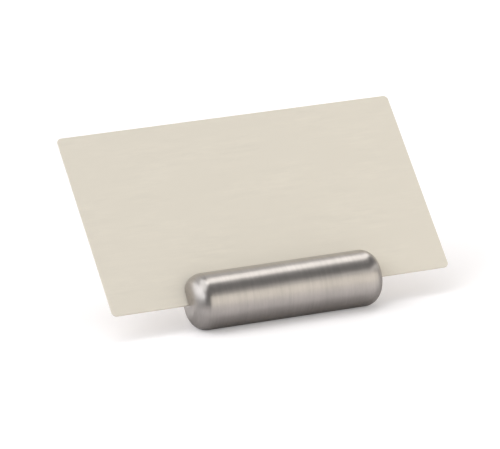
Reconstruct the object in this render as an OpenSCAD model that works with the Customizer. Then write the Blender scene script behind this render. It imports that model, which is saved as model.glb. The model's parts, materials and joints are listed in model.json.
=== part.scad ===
// Place card holder: a round steel bar that lies on its side and holds a card
// in one thin slot, leaning back. X runs along the bar, Y points away from the
// reader and Z is up. The origin is on the table, under the middle of the bar.

/* [Bar] */
// Diameter of the bar
bar_d = 14; // [10:0.5:24]
// Length of the bar over its ends
bar_len = 50; // [36:0.5:120]
// Height of the shallow dome on each end, before its edge is rounded
dome_h = 0.6; // [0.3:0.1:5]
// Radius that the edge between each dome and the barrel is rounded with
edge_round_r = 4.2; // [0.2:0.1:4.5]
// Depth of the flat ground along the underside, so that the bar can't roll
flat_depth = 0.4; // [0.3:0.05:0.8]

/* [Slot] */
// Angle that the slot leans back from upright
slot_lean = 45; // [20:1:60]
// How far the floor of the slot lies past the axis of the bar
slot_past_axis = 0.4; // [0:0.1:2]
// How much wider the slot is than the card is thick
slot_play = 0.4; // [0.1:0.05:1]
// Size of the lead-in chamfer on both lips of the slot
lip_chamfer = 0.15; // [0.05:0.05:0.5]

/* [Foot strip] */
// Width of the strip
strip_w = 3.6; // [1:0.1:4]
// Thickness of the strip
strip_t = 1; // [0.5:0.1:2]
// How far the strip stands out below the flat
strip_proud = 0.2; // [0.05:0.05:0.4]
// Distance from the strip's end to where the barrel starts to round
strip_margin = 2; // [0.5:0.5:6]
// Clearance between the strip and its groove, all round
strip_clear = 0.05; // [0.02:0.01:0.1]

/* [Card] */
// Width of the card, along the bar
card_w = 88.9; // [50:0.1:120]
// Height of the card, along its lean
card_h = 50.8; // [30:0.1:90]
// Thickness of the card
card_t = 0.4; // [0.2:0.05:1]
// Radius of the card's corners
card_corner_r = 1.2; // [0.5:0.1:6]
// Gap that is left between the card and the rear wall of the slot
card_back_gap = 0.05; // [0.02:0.01:0.1]

/* [Hidden] */
$fn = 96;

steel_tone = [0.72, 0.69, 0.66];
rubber_tone = [0.16, 0.16, 0.17];
card_tone = [0.86, 0.84, 0.78];

// Overrun of every cut past the face that it opens
cut_over = 1;

bar_r = bar_d / 2;
axis_h = bar_r - flat_depth + strip_proud;

// Each dome is part of a ball that is centred on the bar's axis at ball_x. The
// edge round touches the barrel at barrel_half, and the ball ball_turn off the axis
ball_r = (pow(bar_r, 2) + pow(dome_h, 2)) / (2 * dome_h);
ball_x = bar_len / 2 - ball_r;
barrel_half = ball_x + sqrt(pow(ball_r - edge_round_r, 2) - pow(bar_r - edge_round_r, 2));
ball_turn = atan2(bar_r - edge_round_r, barrel_half - ball_x);

slot_w = card_t + slot_play;
strip_len = 2 * (barrel_half - strip_margin);

// Quarter disc between the positive axes
module quarter(r) {
    intersection() {
        circle(r = r);
        square([r, r]);
    }
}

// Flat strip outline with round ends, centred, lying along X
module obround(length, width) {
    square([length - width, width], center = true);
    for (side = [-1, 1]) translate([side * (length - width) / 2, 0]) circle(d = width);
}

// Card outline, centred on X, with its lower edge at zero
module card_outline() {
    inner_w = card_w - 2 * card_corner_r;
    inner_h = card_h - 2 * card_corner_r;
    translate([-inner_w / 2, 0]) square([inner_w, card_h]);
    translate([-card_w / 2, card_corner_r]) square([card_w, inner_h]);
    translate([0, card_h / 2]) for (x = [0, 1], y = [0, 1]) mirror([x, 0]) mirror([0, y])
        translate([inner_w / 2, inner_h / 2]) quarter(card_corner_r);
}

// Sector of the ball, from the bar's axis out to where the edge round touches it
module dome_sector() {
    reach = 2 * ball_r;
    translate([0, ball_x]) intersection() {
        circle(r = ball_r);
        polygon([[0, 0], [reach * sin(ball_turn), reach * cos(ball_turn)], [0, reach]]);
    }
}

// Half outline of the bar: x is the distance from its axis, y runs along it
module bar_outline() {
    translate([0, -barrel_half]) square([bar_r, 2 * barrel_half]);
    for (end = [0, 1]) mirror([0, end]) {
        translate([bar_r - edge_round_r, barrel_half]) quarter(edge_round_r);
        dome_sector();
    }
}

// Puts its children in the slot's frame: origin on the bar's axis, Z up the lean
module in_slot_frame() {
    translate([0, 0, axis_h]) rotate([-slot_lean, 0, 0]) children();
}

// The slot and its lead-in, open at both ends of the bar
module slot_cut() {
    cut_len = bar_len + 2 * cut_over;
    half_w = slot_w / 2;
    mouth = half_w + lip_chamfer + cut_over;
    in_slot_frame() rotate([90, 0, 90]) translate([0, 0, -cut_len / 2]) linear_extrude(cut_len)
        polygon([
            [-half_w, -slot_past_axis], [half_w, -slot_past_axis],
            [half_w, bar_r - lip_chamfer], [mouth, bar_r + cut_over],
            [-mouth, bar_r + cut_over], [-half_w, bar_r - lip_chamfer]
        ]);
}

// Everything below the flat
module flat_cut() {
    translate([-bar_len / 2, -bar_r, strip_proud - bar_r]) cube([bar_len, bar_d, bar_r]);
}

// Groove that the foot strip is pressed into
module groove_cut() {
    translate([0, 0, strip_proud - cut_over]) linear_extrude(strip_t - strip_proud + cut_over)
        obround(strip_len + 2 * strip_clear, strip_w + 2 * strip_clear);
}

module holder_bar() {
    color(steel_tone) difference() {
        translate([0, 0, axis_h]) rotate([0, 90, 0]) rotate_extrude() bar_outline();
        flat_cut();
        groove_cut();
        slot_cut();
    }
}

module foot_strip() {
    color(rubber_tone) linear_extrude(strip_t) obround(strip_len, strip_w);
}

module place_card() {
    color(card_tone) in_slot_frame() translate([0, slot_w / 2 - card_back_gap, -slot_past_axis])
        rotate([90, 0, 0]) linear_extrude(card_t) card_outline();
}

holder_bar();
foot_strip();
place_card();
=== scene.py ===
import json
from math import atan2, cos, pi, radians, sin, sqrt

import bmesh
import bpy
from mathutils import Matrix, Vector


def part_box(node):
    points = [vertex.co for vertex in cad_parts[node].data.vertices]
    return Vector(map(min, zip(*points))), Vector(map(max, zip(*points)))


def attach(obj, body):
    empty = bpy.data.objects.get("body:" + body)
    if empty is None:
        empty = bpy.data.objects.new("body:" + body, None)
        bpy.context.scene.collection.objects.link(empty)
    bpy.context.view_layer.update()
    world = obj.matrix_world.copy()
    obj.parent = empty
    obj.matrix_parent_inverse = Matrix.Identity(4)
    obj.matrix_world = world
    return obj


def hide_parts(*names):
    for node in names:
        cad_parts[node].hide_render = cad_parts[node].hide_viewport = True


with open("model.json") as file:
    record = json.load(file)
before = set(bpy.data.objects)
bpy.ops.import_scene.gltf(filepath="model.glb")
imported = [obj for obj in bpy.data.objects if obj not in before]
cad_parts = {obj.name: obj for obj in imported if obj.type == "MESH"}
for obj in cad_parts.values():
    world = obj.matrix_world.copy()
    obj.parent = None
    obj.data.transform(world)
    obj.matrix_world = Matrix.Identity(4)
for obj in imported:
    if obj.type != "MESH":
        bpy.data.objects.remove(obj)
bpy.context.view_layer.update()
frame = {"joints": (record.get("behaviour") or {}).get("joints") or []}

# Place card holder: a brushed steel bar on its side, with a slot that holds a card leaning back.
# X runs along the bar, Y away from the reader, Z up. The origin is on the table, under the bar.

mm = 0.001
overrun = mm  # how far every cutter reaches past what it cuts
shortest = mm / 100  # an edge longer than this along an axis is picked
mergeReach = mm / 1000  # points closer together than this are one point
facing = 0.99  # of a face's normal along an axis, for a face that looks that way
sharpEdge = 60  # degrees between the faces of an edge that is rounded
midNoise = 0.5  # a noise runs from 0 to 1 about this

barLow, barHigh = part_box("holder_bar")
stripLow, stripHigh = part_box("foot_strip")
cardLow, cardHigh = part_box("place_card")
barRadius = (barHigh.y - barLow.y) / 2
barHalf = barHigh.x
barAxis = Vector((0, 0, barHigh.z - barRadius))
liftAxis = frame["joints"][0]["axis"]  # the way the card slides out, up the slot
slotLean = atan2(liftAxis[1], liftAxis[2])


# Modelling helpers

def startPiece():  # object mode, with nothing selected
    if bpy.context.object and bpy.context.object.mode != "OBJECT":
        bpy.ops.object.mode_set(mode="OBJECT")
    bpy.ops.object.select_all(action="DESELECT")


def pick(piece, kind, wanted):  # selects the faces or edges of a piece in edit mode that pass a test
    bpy.context.tool_settings.mesh_select_mode = (False, kind == "edges", kind == "faces")
    bpy.ops.mesh.select_all(action="DESELECT")
    mesh = bmesh.from_edit_mesh(piece.data)
    for element in getattr(mesh, kind):
        if wanted(element):
            element.select_set(True)
    bmesh.update_edit_mesh(piece.data)


def placeInMesh(piece):  # the object goes to the origin and its place goes into the mesh
    bpy.ops.object.transform_apply(location=True, rotation=True, scale=True)
    piece.data.update()


def newBox(name, size, middle):  # sizes along X, Y and Z
    startPiece()
    bpy.ops.mesh.primitive_cube_add(size=1, location=middle, scale=size)
    piece = bpy.context.object
    piece.name = name
    placeInMesh(piece)
    return piece


def roundEndedBox(name, length, width, low, high, steps):  # lies along X, its ends are half rounds
    piece = newBox(name, (length, width, high - low), (0, 0, (low + high) / 2))
    bpy.ops.object.mode_set(mode="EDIT")
    pick(piece, "edges", lambda edge: abs(edge.verts[0].co.z - edge.verts[1].co.z) > shortest)
    bpy.ops.mesh.bevel(offset=width / 2, segments=steps, affect="EDGES", clamp_overlap=False)
    bpy.ops.mesh.select_all(action="SELECT")
    bpy.ops.mesh.remove_doubles(threshold=mergeReach)
    bpy.ops.object.mode_set(mode="OBJECT")
    return piece


def cutAway(piece, cutter):  # the cutter is used up
    cut = piece.modifiers.new("cut", "BOOLEAN")
    cut.operation = "DIFFERENCE"
    cut.solver = "EXACT"
    cut.object = cutter
    bpy.context.view_layer.objects.active = piece
    bpy.ops.object.modifier_apply(modifier=cut.name)
    bpy.data.objects.remove(cutter)


def closeMesh(piece):  # joins stray points and splits faces, so that a cut piece is watertight
    bpy.context.view_layer.objects.active = piece
    bpy.ops.object.mode_set(mode="EDIT")
    bpy.ops.mesh.select_all(action="SELECT")
    bpy.ops.mesh.remove_doubles(threshold=mergeReach)
    bpy.ops.mesh.quads_convert_to_tris(quad_method="BEAUTY", ngon_method="BEAUTY")
    bpy.ops.mesh.dissolve_degenerate(threshold=mergeReach)
    bpy.ops.object.mode_set(mode="OBJECT")


def roundEdges(piece, shape):  # only the sharp ones
    rounding = piece.modifiers.new("rounding", "BEVEL")
    rounding.width, rounding.segments = shape["edgeRound"], shape["edgeSteps"]
    rounding.angle_limit = radians(sharpEdge)
    bpy.context.view_layer.objects.active = piece
    bpy.ops.object.modifier_apply(modifier=rounding.name)


def smoothBelow(piece, degrees):  # an edge that turns by more than this stays sharp
    startPiece()
    piece.select_set(True)
    bpy.context.view_layer.objects.active = piece
    bpy.ops.object.shade_smooth_by_angle(angle=radians(degrees))


# Shader helpers

class Wire:  # an output socket that can be used in a sum
    def __init__(self, finish, socket):
        self.finish, self.socket = finish, socket

    def __add__(self, other):
        return self.finish.sum("ADD", self, other)

    def __sub__(self, other):
        return self.finish.sum("SUBTRACT", self, other)

    def __rsub__(self, other):
        return self.finish.sum("SUBTRACT", other, self)

    def __mul__(self, other):
        return self.finish.sum("MULTIPLY", self, other)

    def __truediv__(self, other):
        return self.finish.sum("DIVIDE", self, other)

    def __pow__(self, other):
        return self.finish.sum("POWER", self, other)

    def __abs__(self):
        return self.finish.sum("ABSOLUTE", self, 0)

    __radd__, __rmul__ = __add__, __mul__


class Finish:  # a material, or the world, and its nodes
    def __init__(self, owner):
        owner.use_nodes = True
        self.owner, self.tree = owner, owner.node_tree
        self.tree.nodes.clear()

    def add(self, kind, settings={}, values={}, output=0):
        node = self.tree.nodes.new(kind)
        for name, value in settings.items():
            setattr(node, name, value)
        for name, value in values.items():
            if isinstance(value, Wire):
                self.tree.links.new(value.socket, node.inputs[name])
            else:
                node.inputs[name].default_value = value
        return Wire(self, node.outputs[output])

    def sum(self, operation, first, second):
        return self.add("ShaderNodeMath", {"operation": operation}, {0: first, 1: second})

    def scaled(self, color, tone):
        return self.add("ShaderNodeVectorMath", {"operation": "SCALE"}, {0: color, "Scale": tone})

    def seenBy(self, *kinds):  # 1 for a ray of one of these kinds, and otherwise 0
        seen = self.add("ShaderNodeLightPath", output=kinds[0])
        for kind in kinds[1:]:
            seen = self.sum("MAXIMUM", seen, self.add("ShaderNodeLightPath", output=kind))
        return seen

    def place(self):  # x, y and z in millimetres on the piece itself
        spot = self.add("ShaderNodeTexCoord", output="Object")
        parts = [self.add("ShaderNodeSeparateXYZ", {}, {0: spot}, axis) for axis in "XYZ"]
        return [part / mm for part in parts]

    def noise(self, x, y, z, detail, roughness=0.5):  # its grains are about 1 long each way
        spot = self.add("ShaderNodeCombineXYZ", {}, {"X": x, "Y": y, "Z": z})
        return self.add("ShaderNodeTexNoise", {"noise_dimensions": "3D"}, {
            "Vector": spot, "Scale": 1.0, "Detail": detail, "Roughness": roughness})

    def fade(self, value, start, end):  # 0 before start, 1 after end, smooth in between
        return self.add("ShaderNodeMapRange", {"interpolation_type": "SMOOTHSTEP"}, {
            "Value": value, "From Min": start, "From Max": end})

    def bump(self, height, depth):  # depth in metres at a height of 1
        return self.add("ShaderNodeBump", {}, {"Strength": 1.0, "Distance": depth, "Height": height})

    def end(self, surface):
        isWorld = isinstance(self.owner, bpy.types.World)
        node = self.tree.nodes.new("ShaderNodeOutputWorld" if isWorld else "ShaderNodeOutputMaterial")
        self.tree.links.new(surface.socket, node.inputs["Surface"])


print("camera")
cameraView = {
    "turn": 21.52,  # degrees from straight ahead, seen past the bar's left end
    "lookDown": 15.73,
    "roll": -2.04,
    "distance": 977.0 * mm,  # from the middle of the bar
    "barRight": 8.11 * mm,  # how far the middle of the bar lies right of the picture's middle
    "barUp": -15.93 * mm,
    "lens": 288,
}
turn, lookDown, roll = (radians(cameraView[name]) for name in ("turn", "lookDown", "roll"))
lookAlong = Vector((sin(turn) * cos(lookDown), cos(turn) * cos(lookDown), -sin(lookDown)))
levelRight = Vector((cos(turn), -sin(turn), 0))
levelUp = levelRight.cross(lookAlong)
cameraRight = cos(roll) * levelRight + sin(roll) * levelUp
cameraUp = cos(roll) * levelUp - sin(roll) * levelRight
cameraData = bpy.data.cameras.new("camera")
cameraData.lens = cameraView["lens"]
camera = bpy.data.objects.new("camera", cameraData)
bpy.context.scene.collection.objects.link(camera)
cameraSpot = barAxis - cameraView["distance"] * lookAlong
cameraSpot -= cameraView["barRight"] * cameraRight + cameraView["barUp"] * cameraUp
cameraFacing = Matrix((cameraRight, cameraUp, -lookAlong)).transposed()
camera.matrix_world = Matrix.Translation(cameraSpot) @ cameraFacing.to_4x4()
bpy.context.scene.camera = camera


print("steel bar")
barShape = {
    "sides": 256,  # round the barrel
    "domeHeight": 0.6 * mm,  # before its edge is rounded
    "edgeRound": 4.2 * mm,
    "domeRings": 8,
    "edgeRings": 32,
    "slotWidth": 0.8 * mm,
    "slotPastAxis": 0.4 * mm,
    "lipWidth": 0.15 * mm,  # of the chamfer on both sides of the slot
    "grooveClearance": 0.05 * mm,  # round the strip
    "grooveSteps": 12,
    "smoothAngle": 11,
}
ballRadius = (barRadius ** 2 + barShape["domeHeight"] ** 2) / (2 * barShape["domeHeight"])
ballMiddle = barHalf - ballRadius  # each dome is part of a ball
edgeRound = barShape["edgeRound"]
barrelHalf = ballMiddle + sqrt((ballRadius - edgeRound) ** 2 - (barRadius - edgeRound) ** 2)
ballTurn = atan2(barRadius - edgeRound, barrelHalf - ballMiddle)


def endRings():  # reach along the bar and radius of every ring, from the barrel's end to the tip
    for ring in range(1, barShape["edgeRings"] + 1):
        ringTurn = (pi / 2 - ballTurn) * ring / barShape["edgeRings"]
        yield barrelHalf + edgeRound * sin(ringTurn), barRadius - edgeRound * (1 - cos(ringTurn))
    for ring in range(1, barShape["domeRings"] + 1):
        ringTurn = ballTurn * (1 - ring / barShape["domeRings"])
        yield ballMiddle + ballRadius * cos(ringTurn), ballRadius * sin(ringTurn)


def drawOutEnd(bar, side):  # pulls the flat end out ring by ring until it closes at the tip
    bpy.ops.object.mode_set(mode="EDIT")
    pick(bar, "faces", lambda face: face.normal.x * side > facing)
    reach, radius = barrelHalf, barRadius
    for nextReach, nextRadius in endRings():
        step = side * (nextReach - reach)
        bpy.ops.mesh.extrude_region_move(TRANSFORM_OT_translate={"value": (step, 0, 0)})
        if nextRadius > 0:
            size = nextRadius / radius
            bpy.ops.transform.resize(value=(1, size, size), center_override=(0, 0, barAxis.z))
        else:
            bpy.ops.mesh.merge(type="CENTER")
        reach, radius = nextReach, nextRadius
    bpy.ops.object.mode_set(mode="OBJECT")


def slotCutter():  # stands upright at first: a blade whose top flares out for the two lips
    blade, lip = barShape["slotWidth"], barShape["lipWidth"]
    low, high = -barShape["slotPastAxis"], barRadius - lip
    cutter = newBox("slotCutter", (2 * (barHalf + overrun), blade, high - low), (0, 0, (low + high) / 2))
    flare = lip + overrun
    bpy.ops.object.mode_set(mode="EDIT")
    pick(cutter, "faces", lambda face: face.normal.z > facing)
    bpy.ops.mesh.extrude_region_move(TRANSFORM_OT_translate={"value": (0, 0, flare)})
    bpy.ops.transform.resize(value=(1, 1 + 2 * flare / blade, 1), center_override=(0, 0, 0))
    bpy.ops.object.mode_set(mode="OBJECT")
    cutter.rotation_euler.x = -slotLean
    cutter.location = barAxis
    placeInMesh(cutter)
    return cutter


startPiece()
bpy.ops.mesh.primitive_cylinder_add(
    vertices=barShape["sides"], radius=barRadius, depth=2 * barrelHalf,
    location=barAxis, rotation=(0, pi / 2, 0), end_fill_type="NGON")
bar = bpy.context.object
bar.name = "brushed_bar"
placeInMesh(bar)
for side in (-1, 1):
    drawOutEnd(bar, side)
gap = barShape["grooveClearance"]
groove = roundEndedBox(
    "grooveCutter", stripHigh.x - stripLow.x + 2 * gap, stripHigh.y - stripLow.y + 2 * gap,
    -overrun, stripHigh.z, barShape["grooveSteps"])
flatSize = (2 * (barHalf + overrun), 2 * (barRadius + overrun), overrun)
flat = newBox("flatCutter", flatSize, (0, 0, barLow.z - overrun / 2))
for cutter in (flat, groove, slotCutter()):
    cutAway(bar, cutter)
closeMesh(bar)
smoothBelow(bar, barShape["smoothAngle"])
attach(bar, "holder")
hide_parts("holder_bar")

steelLook = {
    "color": (0.47, 0.44, 0.42),
    "roughness": 0.29,
    "roughnessSpread": 0.02,
    "endRoughness": 0.14,  # more than that on the turned ends
    "endFade": (1, 0.5),  # millimetres after the barrel and before the tip, between which it comes in
    "marksPerMm": 1.3,
    "shortMarks": 0.3,  # how fast a mark changes round the bar, per millimetre
    "longMarks": 0.05,
    "markDetail": 4,
    "markGrit": 0.6,  # how strong its fine detail is
    "markDepth": 0.0004 * mm,
    "broadMarks": 7,  # how many marks wide a broad band is
    "broadDetail": 2,
    "endShift": 30,  # moves the marks on, so that the two ends differ
    "longShift": 40,  # and the long marks differ from the short ones
    "toneSpread": 0.24,
}


def steelFinish():  # brushed round the bar: every mark runs round the axis and is short along it
    steel = Finish(bpy.data.materials.new("brushed_steel"))
    x, y, z = steel.place()
    height = z - barAxis.z / mm
    radius = (y * y + height * height) ** 0.5
    fromMiddle = abs(x)
    side = steel.sum("SIGN", x, 0)
    across = (fromMiddle - radius) * steelLook["marksPerMm"] + steelLook["endShift"] * side
    short, long = steelLook["shortMarks"], steelLook["longMarks"]
    detail, grit = steelLook["markDetail"], steelLook["markGrit"]
    shortMarks = steel.noise(across, y * short, height * short, detail, grit)
    longMarks = steel.noise(across + steelLook["longShift"], y * long, height * long, detail, grit)
    broad = steel.noise(across / steelLook["broadMarks"], y * long, height * long, steelLook["broadDetail"])
    marks = shortMarks + longMarks - 2 * midNoise
    tone = 1 + steelLook["toneSpread"] * (marks + (broad - midNoise))
    fadeIn, fadeOut = steelLook["endFade"]
    onEnd = steel.fade(fromMiddle, barrelHalf / mm + fadeIn, barHalf / mm - fadeOut)
    rough = steelLook["roughness"] + steelLook["roughnessSpread"] * marks
    surface = steel.add("ShaderNodeBsdfPrincipled", {}, {
        "Base Color": steel.scaled(steelLook["color"], tone), "Metallic": 1.0,
        "Roughness": rough + steelLook["endRoughness"] * onEnd,
        "Normal": steel.bump(marks, steelLook["markDepth"])})
    steel.end(surface)
    return steel.owner


bar.data.materials.clear()
bar.data.materials.append(steelFinish())


print("foot strip")
stripShape = {
    "endSteps": 12,
    "edgeRound": 0.12 * mm,
    "edgeSteps": 3,
    "smoothAngle": 12,  # keeps the flats flat
}
strip = roundEndedBox(
    "rubber_strip", stripHigh.x - stripLow.x, stripHigh.y - stripLow.y, stripLow.z, stripHigh.z,
    stripShape["endSteps"])
roundEdges(strip, stripShape)
smoothBelow(strip, stripShape["smoothAngle"])
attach(strip, "holder")
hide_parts("foot_strip")

rubberLook = {
    "color": (0.03, 0.03, 0.032),
    "toneSpread": 0.4,
    "roughness": 0.8,
    "roughnessSpread": 0.1,
    "grainPerMm": 6,
    "grainDetail": 3,
    "grainDepth": 0.01 * mm,
}


def rubberFinish():
    rubber = Finish(bpy.data.materials.new("strip_rubber"))
    x, y, z = rubber.place()
    rate = rubberLook["grainPerMm"]
    grain = rubber.noise(x * rate, y * rate, z * rate, rubberLook["grainDetail"])
    tone = 1 + rubberLook["toneSpread"] * (grain - midNoise)
    surface = rubber.add("ShaderNodeBsdfPrincipled", {}, {
        "Base Color": rubber.scaled(rubberLook["color"], tone),
        "Roughness": rubberLook["roughness"] + rubberLook["roughnessSpread"] * (grain - midNoise),
        "Normal": rubber.bump(grain, rubberLook["grainDepth"])})
    rubber.end(surface)
    return rubber.owner


strip.data.materials.clear()
strip.data.materials.append(rubberFinish())


print("card")
cardShape = {
    "height": 50.8 * mm,
    "thickness": 0.4 * mm,
    "backGap": 0.05 * mm,  # to the rear wall of the slot
    "cornerRadius": 1.2 * mm,
    "cornerSteps": 8,
    "edgeRound": 0.05 * mm,
    "edgeSteps": 2,
    "smoothAngle": 18,  # rounds the corners and keeps the two faces flat
}
cardWidth = cardHigh.x - cardLow.x
cardFoot = -barShape["slotPastAxis"]
cardBack = barShape["slotWidth"] / 2 - cardShape["backGap"]
card = newBox(
    "plain_card", (cardWidth, cardShape["thickness"], cardShape["height"]),
    (0, cardBack - cardShape["thickness"] / 2, cardFoot + cardShape["height"] / 2))
bpy.ops.object.mode_set(mode="EDIT")
pick(card, "edges", lambda edge: abs(edge.verts[0].co.y - edge.verts[1].co.y) > shortest)
bpy.ops.mesh.bevel(offset=cardShape["cornerRadius"], segments=cardShape["cornerSteps"], affect="EDGES")
bpy.ops.object.mode_set(mode="OBJECT")
roundEdges(card, cardShape)
card.rotation_euler.x = -slotLean
card.location = barAxis
placeInMesh(card)
smoothBelow(card, cardShape["smoothAngle"])
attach(card, "card")
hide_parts("place_card")

cardLook = {
    "color": (0.72, 0.67, 0.58),
    "toneSpread": 0.16,
    "roughness": 0.85,
    "roughnessSpread": 0.1,
    "fibrePerMm": 0.8,
    "fibreStretch": 6,  # how much longer than wide a fibre is
    "fibreDetail": 3,
    "fibreGrit": 0.6,
    "fibreDepth": 0.004 * mm,
    "cloudPerMm": 0.07,  # of the patches where the fibres show more
    "cloudShape": (1, 2, 1 / 3),  # how fast they change along the card, up it and with height
    "cloudDetail": 2,
    "cloudFade": (0.3, 0.7),  # where a patch starts and is whole
    "cloudSpread": 0.03,
}


def cardFinish():  # plain uncoated stock, its fibres lie along the card
    paper = Finish(bpy.data.materials.new("card_paper"))
    x, y, z = paper.place()
    up = y * sin(slotLean) + z * cos(slotLean)
    rate, grit = cardLook["fibrePerMm"], cardLook["fibreGrit"]
    fibreX = x * (rate / cardLook["fibreStretch"])
    fibre = paper.noise(fibreX, up * rate, (z - y) * rate, cardLook["fibreDetail"], grit)
    rateX, rateUp, rateZ = (cardLook["cloudPerMm"] * share for share in cardLook["cloudShape"])
    cloud = paper.noise(x * rateX, up * rateUp, z * rateZ, cardLook["cloudDetail"])
    patch = paper.fade(cloud, *cardLook["cloudFade"])
    tone = 1 + cardLook["toneSpread"] * (fibre - midNoise) * patch
    tone = tone + cardLook["cloudSpread"] * (cloud - midNoise)
    surface = paper.add("ShaderNodeBsdfPrincipled", {}, {
        "Base Color": paper.scaled(cardLook["color"], tone),
        "Roughness": cardLook["roughness"] + cardLook["roughnessSpread"] * (fibre - midNoise),
        "Normal": paper.bump(fibre, cardLook["fibreDepth"])})
    paper.end(surface)
    return paper.owner


card.data.materials.clear()
card.data.materials.append(cardFinish())


print("floor and light")
floorLook = {
    "size": 1,  # metres
    "drop": 0.01 * mm,  # below the strip, so that the two don't share a plane
    "color": (0.84, 0.815, 0.82),
    "lift": 0.23,  # what it gives off to the camera
    "farLift": 0.5,  # more than that away from the lamps
    "farFrom": (180, 400),  # millimetres from the object, where it starts and is whole
    "liftInMetal": 0.25,  # in front of the object
    "liftInMetalToward": 30,  # azimuth
    "liftInMetalFrom": (12, 60),  # millimetres that way from the object
    "paintedShadeInMetal": 0.27,  # painted shade: taken off its colour close to the bar, only where the metal sees the floor
    "paintedShadeReach": (8, 14),  # millimetres to either side of the bar's axis, where the painted shade fades out
    "gloss": 1.5,  # refractive index of its clear top
    "glossRoughness": 0.15,
}
startPiece()
bpy.ops.mesh.primitive_plane_add(size=floorLook["size"], location=(0, 0, -floorLook["drop"]))
floor = bpy.context.object
floor.name = "floor"


def pointAt(azimuth, elevation):  # degrees; azimuth 0 is in front and 90 to the right
    azimuth, elevation = radians(azimuth), radians(elevation)
    return Vector((sin(azimuth) * cos(elevation), -cos(azimuth) * cos(elevation), sin(elevation)))


def floorFinish():  # pale and matt; the metal also sees its gloss and a painted shade close to the bar, and from below it can't be seen
    pale = Finish(bpy.data.materials.new("pale_floor"))
    inMetal = pale.seenBy("Is Glossy Ray", "Is Transmission Ray")
    x, y, _ = pale.place()
    # painted shade: as the metal sees it, the floor's colour is darker close to the bar's axis, for a
    # deeper contact shadow
    clear = pale.fade(abs(y), *floorLook["paintedShadeReach"])
    tone = 1 - floorLook["paintedShadeInMetal"] * (1 - clear) * inMetal
    diffuse = pale.add("ShaderNodeBsdfDiffuse", {}, {"Color": pale.scaled(floorLook["color"], tone)})
    far = pale.fade((x * x + y * y) ** 0.5, *floorLook["farFrom"])
    toward = pointAt(floorLook["liftInMetalToward"], 0)
    ahead = pale.fade(x * toward.x + y * toward.y, *floorLook["liftInMetalFrom"])
    lift = (floorLook["lift"] + floorLook["farLift"] * far) * pale.seenBy("Is Camera Ray")
    lift = lift + floorLook["liftInMetal"] * ahead * inMetal
    glow = pale.add("ShaderNodeEmission", {}, {"Strength": lift})
    lit = pale.add("ShaderNodeAddShader", {}, {0: diffuse, 1: glow})
    gloss = pale.add("ShaderNodeBsdfGlossy", {}, {"Roughness": floorLook["glossRoughness"]})
    mirror = pale.add("ShaderNodeFresnel", {}, {"IOR": floorLook["gloss"]})
    top = pale.add("ShaderNodeMixShader", {}, {0: mirror * inMetal, 1: lit, 2: gloss})
    through = pale.add("ShaderNodeBsdfTransparent")
    below = pale.add("ShaderNodeNewGeometry", output="Backfacing")
    pale.end(pale.add("ShaderNodeMixShader", {}, {0: below, 1: top, 2: through}))
    return pale.owner


floor.data.materials.append(floorFinish())

studio = {  # degrees, metres, and a radiance or tone of 1 is white
    "aim": (0, 0, 0.01),
    "lamps": {
        "overhead": {"azimuth": -93, "elevation": 72, "roll": -48, "distance": 0.65, "size": (0.636, 0.491),
                     "radiance": 1.48, "color": (0.985, 1, 1)},
        "left": {"azimuth": -107, "elevation": 28.5, "roll": 17, "distance": 1.8, "size": (5.2, 1.24),
                 "radiance": 1.85, "color": (0.98, 1, 1.03)},
        "front": {"azimuth": 42, "elevation": 7.5, "roll": -16, "distance": 0.5, "size": (1.0, 0.36),
                  "radiance": 1.08, "color": (1.05, 1, 0.9)},
        "frontTop": {"azimuth": 76, "elevation": 27, "roll": -25, "distance": 0.25, "size": (0.5, 0.055),
                     "radiance": 0.85, "color": (1.02, 1, 0.96)},
        "right": {"azimuth": 129, "elevation": 59, "roll": 11, "distance": 0.9, "size": (0.25, 0.96),
                  "radiance": 2.0, "color": (1.01, 1, 0.97)},
    },
    "roomTone": 0.216,  # what the metal sees of the room around the lamps
    "fillTone": 0.328,  # what the room gives to everything else
    "backdrop": 180,  # azimuth of the middle of the backdrop that the metal sees behind the object
    "backdropTone": 0.8,
    "backdropEdge": (35, 70),  # from its middle, where its fade into the room starts and ends
}


def addLamp(name, azimuth, elevation, roll, distance, size, radiance, color):  # it faces the aim
    away, level = pointAt(azimuth, elevation), pointAt(azimuth + 90, 0)
    light = bpy.data.lights.new(name, "AREA")
    light.shape = "RECTANGLE"
    light.size, light.size_y = size
    light.energy = radiance * pi * size[0] * size[1]
    light.color = color
    lamp = bpy.data.objects.new(name, light)
    bpy.context.scene.collection.objects.link(lamp)
    turned = Matrix((level, away.cross(level), away)).transposed() @ Matrix.Rotation(radians(roll), 3, "Z")
    lamp.matrix_world = Matrix.Translation(Vector(studio["aim"]) + away * distance) @ turned.to_4x4()
    lamp.visible_camera = False


for name, lamp in studio["lamps"].items():
    addLamp(name, **lamp)


def worldFinish():  # white to the camera; the metal sees a pale backdrop in a dim room
    world = bpy.data.worlds.new("studio")
    bpy.context.scene.world = world
    air = Finish(world)
    toward = air.add("ShaderNodeTexCoord", output="Generated")
    across = air.add("ShaderNodeVectorMath", {"operation": "DOT_PRODUCT"}, {
        0: toward, 1: pointAt(studio["backdrop"], 0)}, "Value")
    inner, outer = (cos(radians(angle)) for angle in studio["backdropEdge"])
    inMetal = air.seenBy("Is Glossy Ray", "Is Transmission Ray")
    backdrop = air.fade(across, outer, inner)
    room = studio["roomTone"] + (studio["backdropTone"] - studio["roomTone"]) * backdrop
    tone = studio["fillTone"] * (1 - inMetal) + room * inMetal
    strength = air.sum("MAXIMUM", air.seenBy("Is Camera Ray"), tone)
    air.end(air.add("ShaderNodeBackground", {}, {"Color": (1, 1, 1, 1), "Strength": strength}))


worldFinish()
bpy.context.scene.view_settings.view_transform = "Standard"
